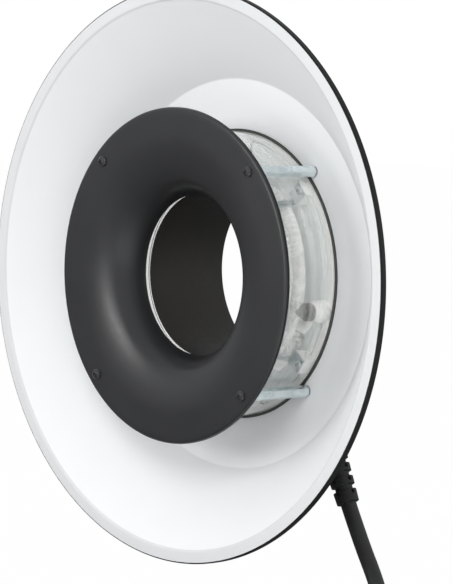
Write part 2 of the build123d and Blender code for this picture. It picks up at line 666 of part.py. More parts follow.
# ---------------------------------------------------------------- generator plug
PLUG_PLACE = Pos(PLUG_X, CABLE_Y, PLUG_TOP_Z)
PLUG_END = -66.0            # lower face, from the plug's top

# (radius, height from the plug's top)
PLUG_BODY = [(CABLE_BORE_R, 16), (8.5, 16), (9.5, -2), (17.5, -14), (17.5, -44), (20.0, -44),
             (20.0, -47), (16.4, -47), (16.4, PLUG_END), (0.01, PLUG_END), (0.01, -32),
             (CABLE_BORE_R, -32)]
PLUG_COLLAR = [(16.5, -47.1), (21.5, -47.1), (21.5, -64), (20.5, -65.5), (16.5, -65.5)]


def fluted(profile, count, height, centre_r, flute_r, length):
    """Turned plug piece with upright grooves round its outside."""
    piece = PLUG_PLACE * rev_z(profile)
    for i in range(count):
        piece -= PLUG_PLACE * Pos(0, 0, height) * Rot(0, 0, i * 360 / count) * Pos(
            centre_r, 0, 0) * Cylinder(flute_r, length)
    return piece


def plug_pin(r, length, x=0.0, y=0.0):
    top = PLUG_TOP_Z + PLUG_END - GAP
    return cyl_z(r, top, top + GAP - length, PLUG_X + x, CABLE_Y + y)


save("plug_body", fluted(PLUG_BODY, count=10, height=-29, centre_r=18.2, flute_r=1.6, length=22))
save("plug_collar",
     fluted(PLUG_COLLAR, count=18, height=-56, centre_r=22.0, flute_r=1.3, length=20))
save("plug_pins", *[plug_pin(1.6, 12, *polar(60 * i, 9.5)) for i in range(6)],
     plug_pin(2.2, 16))

# ---------------------------------------------------------------- tilt bracket
TILT_BORE_R = 4.05


def tilt_bracket():
    plate = box(-22, 22, 14.5, 57, -105, -101.02)
    bracket = fillet(plate.edges().filter_by(Axis.Z), 4)
    for x0, x1 in ((-14.2, -8.2), (8.2, 14.2)):
        bracket += (box(x0, x1, TILT_Y - 12.5, TILT_Y + 12.5, TILT_Z, -104)
                    + cyl_x(12.5, x0, x1, TILT_Y, TILT_Z))
    bracket -= cyl_x(TILT_BORE_R, -30, 30, TILT_Y, TILT_Z)
    for x, y in BRACKET_BOLTS:
        bracket -= cyl_z(2.3, -110, -95, x, y)
    return bracket


def bracket_bolt(x, y):
    """Bolt pointing up, with a hexagon recess in its head."""
    return (cyl_z(3.5, -105.02, -108.8, x, y) + cyl_z(2.05, -108, -88, x, y)
            - extrude(Pos(x, y, -109) * hexagon(1.6), 2.4))


save("tilt_bracket", tilt_bracket())
save("bracket_bolts", *[bracket_bolt(x, y) for x, y in BRACKET_BOLTS])

# ---------------------------------------------------------------- stand adapter
SOCKET_R = 8.1              # takes a 16 mm stand spigot
SOCKET_BOTTOM_Z, SOCKET_TOP_Z = -170.0, -140.0
KNOB_Z = -155.0
TONGUE_X = 6.9              # half the tongue's width


def stand_adapter():
    tongue = cyl_x(12.0, -TONGUE_X, TONGUE_X, TILT_Y, TILT_Z)
    neck = box(-TONGUE_X, TONGUE_X, TILT_Y - 11, TILT_Y + 11, SOCKET_TOP_Z, TILT_Z)
    barrel = cyl_z(15.0, SOCKET_BOTTOM_Z, -136.0, 0, TILT_Y)
    barrel = chamfer(barrel.edges().filter_by(GeomType.CIRCLE), 1.2)
    boss = cyl_x(9.0, -19.0, 0, TILT_Y, KNOB_Z)
    adapter = tongue + neck + barrel + boss
    adapter -= cyl_z(SOCKET_R, SOCKET_BOTTOM_Z - 1, SOCKET_TOP_Z, 0, TILT_Y)
    adapter -= cyl_x(TILT_BORE_R, -30, 30, TILT_Y, TILT_Z)
    adapter -= cyl_x(3.05, -30, 0, TILT_Y, KNOB_Z)
    return adapter


def friction_washer(x0, x1):
    return cyl_x(11.0, x0, x1, TILT_Y, TILT_Z) - cyl_x(4.2, x0 - 1, x1 + 1, TILT_Y, TILT_Z)


def tilt_bolt():
    head = Pos(14.25, TILT_Y, TILT_Z) * Rot(0, 90, 0) * extrude(hexagon(6.5), 5.5)
    return cyl_x(3.98, -30.0, 15.0, TILT_Y, TILT_Z) + head


def tilt_lever():
    """Clamping lever on the bolt's -X end, its arm reaching back and down."""
    arm_middle, arm_length = 34, 58
    frame = Pos(-27.0, TILT_Y, TILT_Z) * Rot(-25, 0, 0)
    arm = frame * Pos(0, arm_middle, 0) * Box(6.5, arm_length, 9)
    arm = fillet(arm.edges(), 2.2)
    tip = frame * Pos(0, arm_middle + arm_length / 2, 0) * Sphere(7.0)
    lever = cyl_x(9.0, -30.6, -14.3, TILT_Y, TILT_Z) + arm + tip
    return lever - cyl_x(4.03, -32, -10, TILT_Y, TILT_Z)


def lock_knob():
    knob = cyl_x(4.5, -26.0, -19.3, TILT_Y, KNOB_Z) + cyl_x(13.0, -42.0, -26.0, TILT_Y, KNOB_Z)
    for i in range(6):
        y, z = polar(60 * i, 15.2)
        knob -= cyl_x(4.2, -45, -25.9, TILT_Y + y, KNOB_Z + z)
    return knob + cyl_x(2.95, -19.6, -14.0, TILT_Y, KNOB_Z)


save("stand_adapter", stand_adapter())
save("friction_washers", friction_washer(6.95, 8.15), friction_washer(-8.15, -6.95))
save("tilt_bolt", tilt_bolt())
save("tilt_lever", tilt_lever())
save("lever_cap", cyl_x(6.4, -33.4, -30.7, TILT_Y, TILT_Z)
     - cyl_x(2.0, -34.5, -32.2, TILT_Y, TILT_Z))
save("lock_knob", lock_knob())
save("lock_pad", cyl_x(2.98, -13.6, -8.4, TILT_Y, KNOB_Z))
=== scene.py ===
# A flash head: a white reflector dish, black outside, with a black funnelled plate in front of
# it and glass drums, a coiled flash tube and a tunnel liner between and behind.
# The optical axis is Y and the front faces -Y. Z is up, and the dish floor lies at y = 0.
# Part dimensions are in mm; materials, lights and the camera are in metres.
import bpy
import bmesh
import math
import random
from mathutils import Matrix, Vector

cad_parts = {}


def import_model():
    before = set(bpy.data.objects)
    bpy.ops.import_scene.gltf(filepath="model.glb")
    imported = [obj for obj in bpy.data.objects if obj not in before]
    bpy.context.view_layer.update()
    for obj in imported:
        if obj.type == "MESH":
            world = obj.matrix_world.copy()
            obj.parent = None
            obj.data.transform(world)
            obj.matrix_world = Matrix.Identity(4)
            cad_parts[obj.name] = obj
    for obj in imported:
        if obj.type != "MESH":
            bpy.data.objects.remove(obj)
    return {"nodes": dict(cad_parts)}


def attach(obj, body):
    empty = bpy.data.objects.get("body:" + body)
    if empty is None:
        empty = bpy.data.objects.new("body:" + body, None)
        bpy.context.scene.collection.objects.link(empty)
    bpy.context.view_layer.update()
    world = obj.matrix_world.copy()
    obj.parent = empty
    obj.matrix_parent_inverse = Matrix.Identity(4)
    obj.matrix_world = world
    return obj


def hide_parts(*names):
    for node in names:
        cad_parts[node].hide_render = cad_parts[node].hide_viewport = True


CAD_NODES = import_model()["nodes"]
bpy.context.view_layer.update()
scene = bpy.context.scene
random.seed(7)

# ------------------------------------------------------------------ driving dimensions
MM = 0.001
SHEET = 1.5                 # thickness of the plate and of the dish
PLATE_FACE_Y = -66.2        # front face of the black plate
DRUM_BACK_Y = -0.5          # rear end of both glass drums
OUTER_DRUM_R = 107.8
INNER_DRUM_R = 68.0
RECESS_BACK_Y = 1.49        # rear face of the lamp floor and the ceramic ring
GLAND = Vector((56.1, 40.0, -102.3))        # where the cable leaves the head
GLAND_AXIS = Vector((0.4447, 0, -0.8957))   # downwards and towards +X


# ------------------------------------------------------------------ mesh helpers
def new_object(name, bm, materials=(), sharp_angle=40.0):
    """Turn a bmesh into a scene object, smooth up to sharp_angle degrees."""
    mesh = bpy.data.meshes.new(name)
    bmesh.ops.recalc_face_normals(bm, faces=bm.faces)
    bm.to_mesh(mesh)
    bm.free()
    for key in materials:
        mesh.materials.append(MATERIALS[key])
    mesh.polygons.foreach_set("use_smooth", [True] * len(mesh.polygons))
    mesh.set_sharp_from_angle(angle=math.radians(sharp_angle))
    obj = bpy.data.objects.new(name, mesh)
    scene.collection.objects.link(obj)
    return obj


def mount(obj, node):
    """Put a detailed part on the head in place of its CAD piece."""
    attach(obj, "head")
    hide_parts(node)


def skin(bm, rows, material_of=lambda strip: 0):
    """Join each closed row of vertices to the next with quads."""
    for j, (row, following) in enumerate(zip(rows, rows[1:])):
        for i in range(len(row)):
            k = (i + 1) % len(row)
            face = bm.faces.new((row[i], row[k], following[k], following[i]))
            face.material_index = material_of(j)


def rounded(points, radii, steps):
    """Closed (r, y) outline with each corner turned into an arc of its radius."""
    outline = []
    for i, point in enumerate(points):
        radius = radii[i] if isinstance(radii, list) else radii
        corner = Vector(point)
        before = Vector(points[i - 1]) - corner
        after = Vector(points[(i + 1) % len(points)]) - corner
        before_length, after_length = before.length, after.length
        before, after = before / before_length, after / after_length
        half = math.acos(before.dot(after)) / 2
        # An arc may use up to 0.49 of either side, so that neighbours never meet.
        setback = min(radius / math.tan(half), before_length * 0.49, after_length * 0.49)
        fitted = setback * math.tan(half)
        centre = corner + (before + after).normalized() * (fitted / math.sin(half))
        start = corner + before * setback - centre
        end = corner + after * setback - centre
        sweep = start.angle(end)
        if start.x * end.y - start.y * end.x <= 0:
            sweep = -sweep
        for j in range(steps + 1):
            c, s = math.cos(sweep * j / steps), math.sin(sweep * j / steps)
            outline.append((centre.x + start.x * c - start.y * s,
                            centre.y + start.x * s + start.y * c))
    return outline


def lathe(name, outline, materials, segments, sharp_angle, material_of=lambda strip: 0):
    """Closed (r, y) outline turned about the optical axis."""
    bm = bmesh.new()
    turns = [2 * math.pi * i / segments for i in range(segments)]
    rows = [[bm.verts.new((r * math.cos(a) * MM, y * MM, r * math.sin(a) * MM)) for a in turns]
            for r, y in outline]
    skin(bm, rows + rows[:1], material_of)
    return new_object(name, bm, materials, sharp_angle)


def curve_through(points, steps):
    """Catmull-Rom curve through the points."""
    curve = []
    for i in range(len(points) - 1):
        span = (points[max(i - 1, 0)], points[i], points[i + 1],
                points[min(i + 2, len(points) - 1)])
        for j in range(steps):
            t = j / steps
            curve.append(tuple(
                0.5 * ((2 * b) + (-a + c) * t + (2 * a - 5 * b + 4 * c - d) * t * t
                       + (-a + 3 * b - 3 * c + d) * t ** 3)
                for a, b, c, d in zip(*span)))
    curve.append(tuple(points[-1]))
    return curve


def tube(name, path, radius, materials, segments):
    """Round rod with closed ends along a path."""
    points = [Vector(p) * MM for p in path]
    last = len(points) - 1
    bm = bmesh.new()
    rings = []
    side = Vector((0, 1, 0))
    for i, point in enumerate(points):
        along = (points[min(last, i + 1)] - points[max(0, i - 1)]).normalized()
        # Carrying the side direction along the path keeps the rings from twisting.
        side = (side - along * side.dot(along)).normalized()
        across = along.cross(side)
        turns = [2 * math.pi * k / segments for k in range(segments)]
        rings.append([bm.verts.new(point + (side * math.cos(a) + across * math.sin(a))
                                   * (radius * MM)) for a in turns])
    skin(bm, rings)
    bm.faces.new(rings[0])
    bm.faces.new(rings[-1])
    return new_object(name, bm, materials, sharp_angle=60)


# ------------------------------------------------------------------ shader helpers
MID_NOISE = (0.3, 0.7)      # the range that holds most of a noise texture's values


def scaled(color, factor):
    return tuple(min(1, x * factor) for x in color)


class Nodes:
    """Shader tree of a material or world. Values may be numbers, tuples or sockets."""

    def __init__(self, owner, output="OutputMaterial"):
        owner.use_nodes = True
        self.owner = owner
        self.tree = owner.node_tree
        self.tree.nodes.clear()
        self.output = self.node(output)
        self.coords = self.node("TexCoord")

    def feed(self, socket, value):
        if isinstance(value, bpy.types.NodeSocket):
            self.tree.links.new(value, socket)
        elif socket.type == "RGBA":
            socket.default_value = tuple(value) + (1,)
        else:
            socket.default_value = value

    def node(self, kind, inputs=None, **settings):
        node = self.tree.nodes.new("ShaderNode" + kind)
        for key, value in settings.items():
            setattr(node, key, value)
        for key, value in (inputs or {}).items():
            self.feed(node.inputs[key], value)
        return node

    def position(self):
        return self.node("SeparateXYZ", {0: self.coords.outputs["Object"]}).outputs

    def pointiness(self):
        return self.node("NewGeometry").outputs["Pointiness"]

    def noise(self, scale, detail, roughness, stretch=None, distortion=0.0):
        place = self.coords.outputs["Object"]
        if stretch:
            mapping = self.node("Mapping", {"Scale": stretch, "Vector": place})
            place = mapping.outputs["Vector"]
        return self.node("TexNoise", {
            "Scale": scale, "Detail": detail, "Roughness": roughness,
            "Distortion": distortion, "Vector": place}).outputs["Fac"]

    def remap(self, value, span, to=(0.0, 1.0), **settings):
        return self.node("MapRange", {
            "From Min": span[0], "From Max": span[1], "To Min": to[0], "To Max": to[1],
            "Value": value}, **settings).outputs["Result"]

    def calc(self, operation, *values):
        return self.node("Math", dict(enumerate(values)), operation=operation).outputs[0]

    def plus(self, a, b):
        return self.calc("ADD", a, b)

    def times(self, a, b):
        return self.calc("MULTIPLY", a, b)

    def mix(self, factor, a, b):
        # Sockets 6, 7 and 2 are the colour inputs A and B and the colour result.
        return self.node("Mix", {"Factor": factor, 6: a, 7: b}, data_type="RGBA").outputs[2]

    def mix_shader(self, factor, a, b):
        return self.node("MixShader", {0: factor, 1: a.outputs[0], 2: b.outputs[0]})

    def bump(self, height, strength, distance):
        return self.node("Bump", {"Strength": strength, "Distance": distance,
                                  "Height": height}).outputs["Normal"]

    def finish(self, shader):
        self.feed(self.output.inputs["Surface"], shader.outputs[0])
        return self.owner


def new_material(name):
    return Nodes(bpy.data.materials.new(name))


def worn_edges(nodes, amount):
    """Mask of rubbed, exposed edges."""
    edges = nodes.remap(nodes.pointiness(), span=(0.515, 0.56))
    patches = nodes.remap(nodes.noise(scale=900, detail=5, roughness=0.6), span=(0.42, 0.62))
    return nodes.times(nodes.times(edges, patches), amount)


def painted_shade_band(nodes, color, start, end, keep):
    """Painted shade: darken the colour from y = start to y = end, down to the share `keep`."""
    fade = nodes.remap(nodes.position()["Y"], span=(start, end))
    return nodes.mix(fade, color, nodes.mix(1.0 - keep, color, (0.0, 0.0, 0.0)))


# ------------------------------------------------------------------ kinds of material
def powder(name, color, rough, grain, bump, wear, dust=0.10, spec=0.5, cloud_scale=9.0,
           variation=0.18, worn_color=(0.32, 0.32, 0.33), painted_shade=None):
    """Coated metal: fine orange-peel, cloudy sheen, faint dust and rubbed edges."""
    nodes = new_material(name)
    cloud = nodes.noise(scale=cloud_scale, detail=5, roughness=0.6)
    fine = nodes.noise(scale=grain, detail=3, roughness=0.6)
    medium = nodes.noise(scale=grain / 7, detail=4, roughness=0.6)
    shade = nodes.mix(nodes.remap(cloud, span=MID_NOISE),
                      scaled(color, 1 - variation), scaled(color, 1 + variation))
    specks = nodes.remap(nodes.noise(scale=420, detail=6, roughness=0.75), span=(0.60, 0.78))
    dust_color = (0.42, 0.41, 0.39)
    shade = nodes.mix(nodes.times(specks, dust), shade, dust_color)
    worn = worn_edges(nodes, wear)
    shade = nodes.mix(worn, shade, worn_color)
    # Optional painted shade: a darker band along Y.
    if painted_shade:
        shade = painted_shade_band(nodes, shade, **painted_shade)
    roughness = nodes.plus(nodes.remap(cloud, span=MID_NOISE, to=(rough - 0.05, rough + 0.05)),
                           nodes.remap(medium, span=MID_NOISE, to=(-0.04, 0.04)))
    medium_share, worn_metallic = 0.6, 0.6
    height = nodes.plus(fine, nodes.times(medium, medium_share))
    return nodes.finish(nodes.node("BsdfPrincipled", {
        "Base Color": shade, "Roughness": roughness,
        "Metallic": nodes.times(worn, worn_metallic),
        "Normal": nodes.bump(height, strength=bump, distance=0.00012),
        "Specular IOR Level": spec, "Coat Roughness": 0.25}))


def plastic(name, color, rough, bump=0.2):
    """Moulded plastic whose edges wear to a paler tone of its own colour."""
    return powder(name, color, rough, grain=1500, bump=bump, dust=0.06, wear=0.12,
                  worn_color=tuple(min(1, x * 3 + 0.02) for x in color))


def metal(name, color, rough, bump=0.12, streak_stretch=1 / 60, patch=0.12, tint=None,
          corner_darkening=0.25, painted_shade=None):
    """Plated or turned metal: streaks drawn along Y, cloudy plating and colour darkened in
    concave corners.
    """
    nodes = new_material(name)
    streaks = nodes.noise(scale=1600, detail=3, roughness=0.6, stretch=(1, streak_stretch, 1))
    cloud = nodes.noise(scale=70, detail=5, roughness=0.6, distortion=0.6)
    shade = nodes.mix(nodes.remap(cloud, span=(0.35, 0.68)),
                      scaled(color, 1 - patch), tint or scaled(color, 1 + patch))
    # Colour darkened in concave corners, which are picked out by the mesh's pointiness.
    corners = nodes.remap(nodes.pointiness(), span=(0.49, 0.44))
    corner_tone = 0.25
    shade = nodes.mix(nodes.times(corners, corner_darkening), shade, scaled(color, corner_tone))
    # Optional painted shade: a darker band along Y.
    if painted_shade:
        shade = painted_shade_band(nodes, shade, **painted_shade)
    roughness = nodes.plus(
        nodes.remap(streaks, span=MID_NOISE, to=(rough - 0.06, rough + 0.06)),
        nodes.remap(cloud, span=MID_NOISE, to=(-0.04, 0.05)))
    return nodes.finish(nodes.node("BsdfPrincipled", {
        "Base Color": shade, "Metallic": 1.0, "Roughness": roughness,
        "Normal": nodes.bump(streaks, strength=bump, distance=0.00006)}))


def rubber(name, color, rough, grain=1800):
    """Matt rubber with a fine grain and pale dust."""
    nodes = new_material(name)
    fine = nodes.noise(scale=grain, detail=4, roughness=0.6)
    cloud = nodes.noise(scale=30, detail=5, roughness=0.65)
    dark_tone, pale_tone = 0.8, 1.35
    shade = nodes.mix(nodes.remap(cloud, span=(0.35, 0.7)),
                      scaled(color, dark_tone), scaled(color, pale_tone))
    specks = nodes.remap(nodes.noise(scale=300, detail=6, roughness=0.7), span=(0.58, 0.75))
    dust, dust_color = 0.12, (0.30, 0.29, 0.27)
    shade = nodes.mix(nodes.times(specks, dust), shade, dust_color)
    return nodes.finish(nodes.node("BsdfPrincipled", {
        "Base Color": shade,
        "Roughness": nodes.remap(cloud, span=MID_NOISE, to=(rough - 0.07, rough + 0.08)),
        "Normal": nodes.bump(fine, strength=0.3, distance=0.00015),
        "Specular IOR Level": 0.45}))


def painted_haze_light(nodes, haze, color, strength, line_y, line_half_width):
    """Painted light: the haze emits light, standing in for light carried through the glass, with
    a darker line round the drum at line_y.
    """
    offset = nodes.calc("ABSOLUTE", nodes.calc("SUBTRACT", nodes.position()["Y"], line_y))
    off_line = nodes.remap(offset, span=(line_half_width * 0.4, line_half_width))
    line_tone = 0.35
    nodes.feed(haze.inputs["Base Color"], nodes.mix(off_line, scaled(color, line_tone), color))
    level = nodes.remap(off_line, span=(0.0, 1.0), to=(0.25, 1.0))
    nodes.feed(haze.inputs["Emission Strength"], nodes.times(level, strength))
    nodes.feed(haze.inputs["Emission Color"], color)


def painted_reflection_streaks(nodes):
    """Painted reflections: fine and broad lines of haze running round the drum, standing in for
    the reflected streaks on it.
    """
    fine = nodes.noise(scale=1.0, detail=5, roughness=0.7, stretch=(5, 330, 5))
    broad = nodes.noise(scale=1.0, detail=3, roughness=0.6, stretch=(8, 120, 8))
    return nodes.calc("MAXIMUM", nodes.remap(fine, span=(0.50, 0.66)),
                      nodes.remap(broad, span=(0.46, 0.68)))


def glass(name, tint, film, rough=0.02, ripple_scale=14.0, base=0.0, bands=0.0, painted_glow=None,
          film_color=(0.88, 0.88, 0.85), ior=1.47):
    """Rippled clear glass under a film of haze, whose shadows let light through.

    film is the strength of streaks and spots, base an even haze, bands the strength of the
    painted reflection streaks.
    """
    nodes = new_material(name)
    ripple = nodes.noise(scale=ripple_scale, detail=3, roughness=0.5, stretch=(1, 1.6, 1),
                         distortion=0.4)
    normal = nodes.bump(ripple, strength=0.25, distance=0.0015)
    clear = nodes.node("BsdfGlass", {"IOR": ior, "Color": tint, "Roughness": rough,
                                     "Normal": normal})
    haze = nodes.node("BsdfPrincipled", {"Base Color": film_color, "Roughness": 0.5,
                                         "Normal": normal})
    # Optional painted light: a haze that emits light.
    if painted_glow:
        painted_haze_light(nodes, haze, film_color, **painted_glow)
    streaks = nodes.noise(scale=60, detail=6, roughness=0.7, stretch=(1.0, 0.25, 1.0),
                          distortion=1.2)
    spots = nodes.remap(nodes.noise(scale=900, detail=4, roughness=0.6), span=(0.66, 0.74))
    cover = nodes.plus(nodes.times(nodes.remap(streaks, span=(0.42, 0.75)), film),
                       nodes.times(spots, film))
    if base:
        cover = nodes.plus(cover, base)
    # Painted reflections: lines of haze round the drum.
    if bands:
        cover = nodes.plus(cover, nodes.times(painted_reflection_streaks(nodes), bands))
    surface = nodes.mix_shader(nodes.calc("MINIMUM", cover, 1.0), clear, haze)
    see_through = nodes.node("BsdfTransparent", {"Color": tint})
    ray = nodes.node("LightPath").outputs
    passes = nodes.calc("MAXIMUM", ray["Is Shadow Ray"], ray["Is Diffuse Ray"])
    return nodes.finish(nodes.mix_shader(passes, surface, see_through))


# ------------------------------------------------------------------ the materials
MATERIALS = {
    "plate": powder("plate_black", color=(0.0135, 0.0135, 0.0150), rough=0.38, grain=2400,
                    bump=0.08, dust=0.012, wear=0.05, variation=0.07, spec=0.74),
    # Darker, less glossy copy of the plate black for the rim's turned-back lip: painted shade
    # that takes away the reflection the lip would catch.
    "plate_rim_shaded": powder("plate_black_rim_painted_shade", color=(0.010, 0.010, 0.011), rough=0.45, grain=2400,
                         bump=0.08, dust=0.01, wear=0.03, variation=0.07, spec=0.22),
    # The inside is darkened to 80% from y = -59.2 mm to the lip's front: painted shade along the
    # rim lip.
    "dish_in": powder("dish_white_inside", color=(0.905, 0.915, 0.925), rough=0.5, grain=1500,
                      bump=0.06, dust=0.0, wear=0.0, variation=0.012, cloud_scale=5,
                      painted_shade=dict(start=-0.0592, end=-0.0598, keep=0.80)),
    "dish_out": powder("dish_black_outside", color=(0.009, 0.009, 0.0092), rough=0.42,
                       grain=1700, bump=0.2, dust=0.02, wear=0.05, spec=0.26),
    "liner": powder("liner_black", color=(0.0245, 0.0222, 0.0205), rough=0.52, grain=1400,
                    bump=0.10, dust=0.012, wear=0.05, spec=0.28),
    "liner_out": powder("liner_white_outside", color=(0.92, 0.92, 0.90), rough=0.35, grain=1200,
                        bump=0.05, dust=0.02, wear=0.0, variation=0.02),
    "screw": powder("screw_black", color=(0.022, 0.022, 0.023), rough=0.35, grain=3000,
                    bump=0.1, dust=0.05, wear=0.4),
    # The post's foot, where it meets the dish, is darkened to 30%: a painted contact shadow.
    "post": metal("post_zinc", color=(0.76, 0.86, 0.88), rough=0.30, streak_stretch=0.05,
                  bump=0.08, tint=(0.88, 0.94, 0.945),
                  painted_shade=dict(start=-0.0021, end=-0.0012, keep=0.30)),
    "zinc": metal("zinc_plate", color=(0.60, 0.70, 0.74), rough=0.30, streak_stretch=0.05,
                  bump=0.10, tint=(0.74, 0.80, 0.80)),
    "steel": metal("steel_turned", color=(0.52, 0.52, 0.53), rough=0.28),
    "cap": metal("tube_cap_metal", color=(0.80, 0.79, 0.77), rough=0.35, patch=0.1, corner_darkening=0.2),
    "nickel": metal("nickel_knurled", color=(0.30, 0.29, 0.27), rough=0.36, patch=0.2,
                    corner_darkening=0.5),
    "alu": powder("satin_floor", color=(0.86, 0.905, 0.90), rough=0.30, grain=1500, bump=0.04,
                  dust=0.02, wear=0.0, variation=0.03, spec=0.6),
    "brass": metal("brass_turned", color=(0.72, 0.55, 0.24), rough=0.28),
    "seal": rubber("seal_dark", color=(0.062, 0.062, 0.057), rough=0.5),
    "ceramic": powder("ceramic_white", color=(0.91, 0.91, 0.885), rough=0.33, grain=1200,
                      bump=0.05, dust=0.02, wear=0.0, variation=0.03, cloud_scale=25),
    # The drum's bands of haze are painted reflection streaks.
    "glass": glass("drum_glass", tint=(0.997, 1.0, 0.998), film=0.05, ior=1.6, bands=0.26,
                   film_color=(0.93, 0.93, 0.905)),
    # The inner drum's haze emits light: painted light standing in for light carried through the
    # glass from the drum.
    "glass_in": glass("inner_glass", tint=(0.997, 1.0, 0.999), film=0.15, base=0.85,
                      ripple_scale=20, film_color=(0.95, 0.95, 0.935),
                      painted_glow=dict(strength=0.33, line_y=-0.0300, line_half_width=0.0008)),
    "quartz": glass("quartz_tube", tint=(0.995, 0.995, 0.99), rough=0.05, film=1.0,
                    film_color=(0.93, 0.925, 0.905), ripple_scale=40, base=0.35),
    "bulb": glass("lamp_envelope", tint=(0.99, 0.99, 0.98), rough=0.01, film=0.15,
                  ripple_scale=60),
    "housing": powder("housing_texture_black", color=(0.030, 0.030, 0.032), rough=0.52,
                      grain=1300, bump=0.55, dust=0.08, wear=0.3),
    "cover": powder("cover_black", color=(0.034, 0.034, 0.036), rough=0.40, grain=2200,
                    bump=0.2, dust=0.06, wear=0.3),
    "fan": plastic("fan_plastic", color=(0.018, 0.018, 0.019), rough=0.38),
    "switch": plastic("switch_gloss", color=(0.03, 0.03, 0.032), rough=0.18, bump=0.05),
    "resin": plastic("potting_resin", color=(0.08, 0.08, 0.09), rough=0.35),
    "cable": rubber("cable_sheath", color=(0.022, 0.022, 0.022), rough=0.5),
    "relief": rubber("relief_rubber", color=(0.014, 0.014, 0.014), rough=0.55, grain=1500),
    "plug": plastic("plug_moulding", color=(0.03, 0.03, 0.032), rough=0.45, bump=0.35),
    "bracket": powder("bracket_black", color=(0.035, 0.035, 0.037), rough=0.42, grain=2000,
                      bump=0.25, wear=0.45),
    "adapter": powder("adapter_cast", color=(0.085, 0.085, 0.09), rough=0.48, grain=900,
                      bump=0.5, wear=0.5),
    "knob": plastic("knob_moulding", color=(0.022, 0.022, 0.022), rough=0.5, bump=0.4),
}

# Material: the CAD pieces that wear it.
PIECES_IN = {
    "plate": "front_plate",
    "screw": "plate_screws cover_screws fan_screws",
    "zinc": "standoffs standoff_nuts standoff_washers tube_brackets bracket_screws",
    "glass": "outer_glass",
    "glass_in": "inner_glass",
    "seal": "front_gasket rear_gasket inner_gasket throat_seal",
    "dish_in": "reflector_dish",
    "liner": "tunnel_liner",
    "alu": "lamp_floor",
    "ceramic": "ceramic_seat_ring terminal_insulators lead_sleeves bracket_blocks "
               "lamp_sockets terminal_block",
    "quartz": "flash_tube",
    "cap": "tube_end_caps",
    "nickel": "trigger_wire terminal_nuts terminal_studs",
    "bulb": "modelling_lamps",
    "housing": "rear_housing",
    "cover": "rear_cover",
    "fan": "fan_frame fan_rotor",
    "switch": "switch_bezel switch_rocker",
    "resin": "trigger_transformer",
    "brass": "thermal_cutout plug_pins lock_pad",
    "cable": "wiring_loom lamp_cable",
    "plug": "cable_gland plug_body friction_washers",
    "relief": "strain_relief",
    "knob": "plug_collar lock_knob",
    "bracket": "tilt_bracket tilt_lever",
    "steel": "bracket_bolts tilt_bolt lever_cap",
    "adapter": "stand_adapter",
}


def dress_cad_pieces():
    material_of = {piece: key for key, pieces in PIECES_IN.items() for piece in pieces.split()}
    for piece, obj in CAD_NODES.items():
        obj.data.materials.clear()
        obj.data.materials.append(MATERIALS[material_of[piece]])
        obj.data.polygons.foreach_set("use_smooth", [True] * len(obj.data.polygons))


# ------------------------------------------------------------------ black front plate
# (r, y behind the plate face) in each table
PLATE_RIM = [(123.55, SHEET), (123.55, 3.6), (124.1, 3.75), (124.7, 3.6), (125.0, 3.2),
             (125.0, 2.0), (124.9, 1.35), (124.6, 0.75), (124.1, 0.32), (123.4, 0.08),
             (122.6, 0.0), (118.0, 0.0), (114.0, 0.0)]
FUNNEL = [(110.0, 0.0), (103.5, 0.04), (98.0, 0.25), (93.0, 0.68), (88.5, 1.25), (83.6, 2.2),
          (79.0, 3.5), (75.0, 5.15), (71.6, 7.1), (69.0, 9.45), (66.6, 12.2), (64.55, 15.2),
          (62.9, 18.5), (61.9, 21.0), (61.1, 23.6), (60.6, 26.1), (60.32, 28.3)]
FUNNEL_LIP = [(60.5, 28.75), (61.1, 28.9), (61.7, 28.65)]
PLATE_BACK = [(114.0, SHEET), (120.0, SHEET)]
FUNNEL_WALL = 1.45
SHADED_RIM_STRIPS = 6             # strips of the rim, from the outline's start, in a darker, less glossy black: painted shade on the rim's turned-back lip


def build_front_plate():
    front = curve_through(FUNNEL, steps=5)
    back = []
    for i, (r, y) in enumerate(front):
        before, after = front[max(0, i - 1)], front[min(len(front) - 1, i + 1)]
        along = Vector((after[0] - before[0], after[1] - before[1])).normalized()
        back.append((r + along.y * FUNNEL_WALL, y - along.x * FUNNEL_WALL))
    outline = PLATE_RIM + front + FUNNEL_LIP + back[::-1] + PLATE_BACK
    # The rim's lip gets the darker black, which is painted shade.
    plate = lathe("front_plate_spun", [(r, y + PLATE_FACE_Y) for r, y in outline],
                  ["plate", "plate_rim_shaded"], segments=320, sharp_angle=50,
                  material_of=lambda strip: int(strip < SHADED_RIM_STRIPS))
    mount(plate, "front_plate")


# ------------------------------------------------------------------ dish
DISH_HOLE_R = 109.3
RIM_R, RIM_FRONT_Y, RIM_BACK_Y = 214.5, -60.65, -55.9
# (r, y, corner radius): inside from the floor hole out to the rim, then back outside
DISH_OUTLINE = [
    (DISH_HOLE_R, 0.0, 0.5), (123.0, 0.0, 60.0), (147.25, -3.0, 3.0),
    (205.2, RIM_FRONT_Y, 2.2), (RIM_R, RIM_FRONT_Y, 1.1), (RIM_R, RIM_BACK_Y, 0.4),
    (RIM_R - SHEET, RIM_BACK_Y, 0.4), (RIM_R - SHEET, RIM_FRONT_Y + SHEET, 1.0),
    (205.82, RIM_FRONT_Y + SHEET, 1.2), (147.96, -1.5, 4.0),
    (123.1, SHEET, 60.0), (DISH_HOLE_R, SHEET, 0.5)]
BLACK_FROM_R = 213.45       # the outline is black from the first strip beyond this radius


def build_dish():
    outline = rounded([(r, y) for r, y, _ in DISH_OUTLINE],
                      [radius for _, _, radius in DISH_OUTLINE], steps=8)
    first_black = next(j for j, (r, _) in enumerate(outline)
                       if (r + outline[j + 1][0]) / 2 > BLACK_FROM_R)
    dish = lathe("reflector_dish_spun", outline, ["dish_in", "dish_out"], segments=384,
                 sharp_angle=38, material_of=lambda strip: int(strip >= first_black))
    mount(dish, "reflector_dish")


